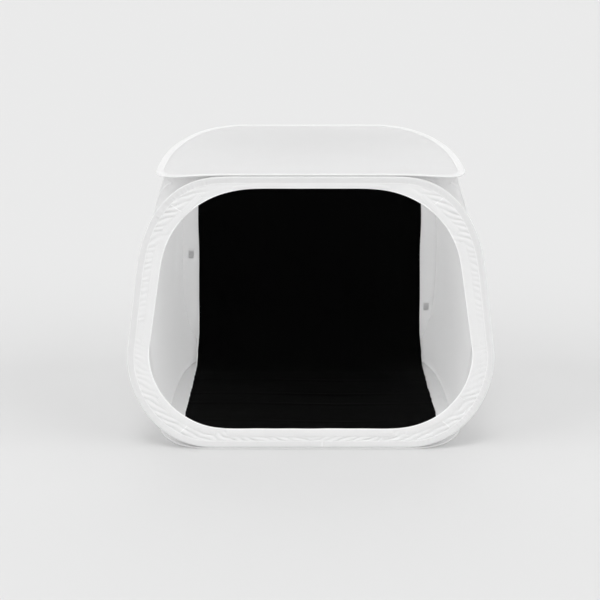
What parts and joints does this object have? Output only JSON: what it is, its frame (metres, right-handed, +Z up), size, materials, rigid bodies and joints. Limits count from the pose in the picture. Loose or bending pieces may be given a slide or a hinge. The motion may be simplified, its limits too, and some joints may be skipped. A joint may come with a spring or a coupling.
{
  "type": "light tent",
  "caption": "Pop-up cube of thin white cloth on sprung wire hoops, open at the front inside a sewn band, with a black backdrop swept down the back and over the floor.",
  "frame": {"origin": "middle of the base, on the ground under the floor hoop, halfway between the front hoop's front face and the back hoop's back face", "axes": "+X to the right as seen from the opening, +Y from the opening to the back panel, +Z up"},
  "size_m": [1.451, 1.219, 1.1173],
  "materials": {
    "wire": "oil-tempered spring steel",
    "ferrule": "crimped tube",
    "sleeve": "white woven nylon, folded and sewn",
    "panel": "white diffusing nylon",
    "wall": "white diffusing nylon, soft wall",
    "band": "white woven nylon",
    "tape": "white hook-and-loop tape",
    "patch": "grey hook-and-loop tape",
    "backdrop": "black matt cloth"
  },
  "bodies": {
    "floor": {"floor_hoop_wire": "wire", "floor_hoop_ferrule": "ferrule", "floor_hoop_sleeve": "sleeve", "floor_panel": "panel", "front_floor_web": "sleeve", "back_floor_web": "sleeve", "left_wall": "wall", "right_wall": "wall", "backdrop": "backdrop"},
    "front": {"front_hoop_wire": "wire", "front_hoop_ferrule": "ferrule", "front_hoop_sleeve": "sleeve", "front_band": "band", "tape_bottom": "tape", "tape_top": "tape", "tape_side_left": "tape", "tape_side_right": "tape", "tape_lower_left": "tape", "tape_lower_right": "tape", "tape_upper_left": "tape", "tape_upper_right": "tape"},
    "back": {"back_hoop_wire": "wire", "back_hoop_ferrule": "ferrule", "back_hoop_sleeve": "sleeve", "back_panel": "panel", "loop_patch_left": "tape", "loop_patch_middle": "tape", "loop_patch_right": "tape", "hook_patch_left": "patch", "hook_patch_middle": "patch", "hook_patch_right": "patch", "side_patch_left": "patch", "side_patch_right": "patch"},
    "top": {"top_hoop_wire": "wire", "top_hoop_ferrule": "ferrule", "top_hoop_sleeve": "sleeve", "top_panel": "panel", "back_top_web": "sleeve", "front_top_web": "sleeve"}
  },
  "joints": [
    {"name": "back_hoop_fold", "type": "hinge", "parent": "floor", "child": "back", "pos_m": [0, 0.6025, 0.00715], "axis": [-1, 0, 0], "range_deg": [0, 87], "deforming": ["left_wall", "right_wall", "backdrop", "front_floor_web", "back_floor_web", "back_top_web", "front_top_web"]},
    {"name": "front_hoop_fold", "type": "hinge", "parent": "floor", "child": "front", "pos_m": [0, -0.6025, 0.00715], "axis": [-1, 0, 0], "range_deg": [0, 87]},
    {"name": "top_hoop_fold", "type": "hinge", "parent": "back", "child": "top", "pos_m": [0, 0.6025, 1.11015], "axis": [1, 0, 0], "range_deg": [0, 87]}
  ],
  "couplings": [
    {"joint": "front_hoop_fold", "follows": "back_hoop_fold", "ratio": 1},
    {"joint": "top_hoop_fold", "follows": "back_hoop_fold", "ratio": 1}
  ]
}
